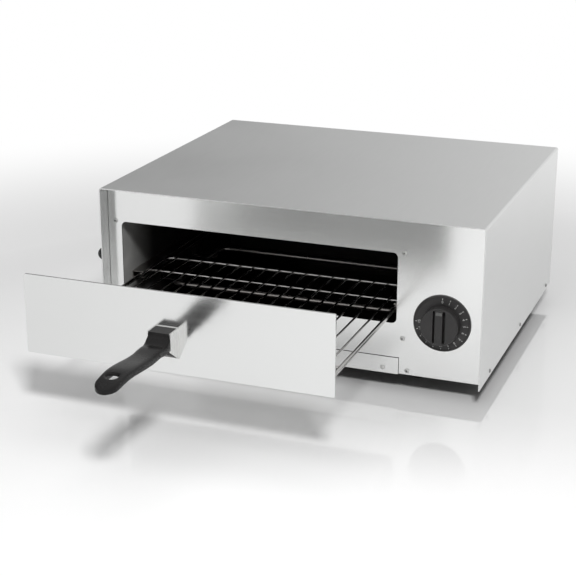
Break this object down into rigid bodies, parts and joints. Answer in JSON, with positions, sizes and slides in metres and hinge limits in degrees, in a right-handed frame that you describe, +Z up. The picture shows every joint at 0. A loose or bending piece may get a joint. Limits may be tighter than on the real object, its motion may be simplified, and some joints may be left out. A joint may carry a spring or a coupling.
{
  "type": "electric pizza maker",
  "caption": "Countertop electric pizza oven with a boxy steel case, pull-out wire rack on a flat door with a black handle, crumb tray and dial timer.",
  "frame": {"origin": "on the surface the feet stand on, under the middle of the whole oven's bounding box with the drawer pulled out as pictured", "axes": "+Z up; -Y is the front, the way the drawer and the crumb tray pull out; +X is to the right seen from the front"},
  "size_m": [0.4804, 0.7594, 0.213],
  "materials": {
    "case_steel": "brushed front to back",
    "front_steel": "fine satin",
    "base_steel": "dull galvanised",
    "oven_steel": "dull, darkened by heat",
    "guide_steel": "dull, bent sheet",
    "element_sheath": "matte, oxidised sheath",
    "ceramic": null,
    "shield_aluminium": "aluminised sheet",
    "phenolic_brown": "moulded phenolic",
    "timer_zinc": "zinc plated",
    "bell_brass": "plated gong",
    "screw_steel": "bright plated",
    "black_plastic": "satin black",
    "black_rubber": "matte",
    "phenolic_black": "moulded phenolic, slight sheen",
    "rack_wire": "nickel plated wire",
    "bracket_steel": "bent sheet"
  },
  "bodies": {
    "case": {"outer_cover": "case_steel", "front_panel": "front_steel", "base_pan": "base_steel", "back_panel": "base_steel", "oven_liner": "oven_steel", "left_rack_guide": "guide_steel", "right_rack_guide": "guide_steel", "guide_rivets": "guide_steel", "lower_element": "element_sheath", "upper_element": "element_sheath", "element_clips": "guide_steel", "element_bushings": "ceramic", "top_heat_shield": "shield_aluminium", "side_heat_shield": "shield_aluminium", "thermal_cutout": "phenolic_brown", "terminal_block": "ceramic", "timer_body": "timer_zinc", "timer_bell": "bell_brass", "timer_screws": "screw_steel", "dial_plate": "black_plastic", "feet": "black_rubber", "foot_screws": "screw_steel", "cover_screws": "screw_steel", "back_screws": "screw_steel", "panel_screws": "screw_steel", "side_bumper": "black_rubber", "cord_bushing": "black_plastic"},
    "knob": {"timer_shaft": "screw_steel", "timer_knob": "black_plastic"},
    "drawer": {"door_panel": "front_steel", "wire_rack": "rack_wire", "rack_clips": "guide_steel", "handle_bracket": "bracket_steel", "handle": "phenolic_black", "handle_screws": "screw_steel"},
    "tray": {"crumb_tray": "front_steel", "tray_rivets": "screw_steel"}
  },
  "joints": [
    {"name": "drawer_slide", "type": "slide", "parent": "case", "child": "drawer", "axis": [0, -1, 0], "range_m": [-0.22, 0.03]},
    {"name": "tray_slide", "type": "slide", "parent": "case", "child": "tray", "axis": [0, -1, 0], "range_m": [0, 0.28]},
    {"name": "timer_turn", "type": "hinge", "parent": "case", "child": "knob", "pos_m": [0.18858, -0.0113, 0.0915], "axis": [0, 1, 0], "range_deg": [0, 270]}
  ]
}
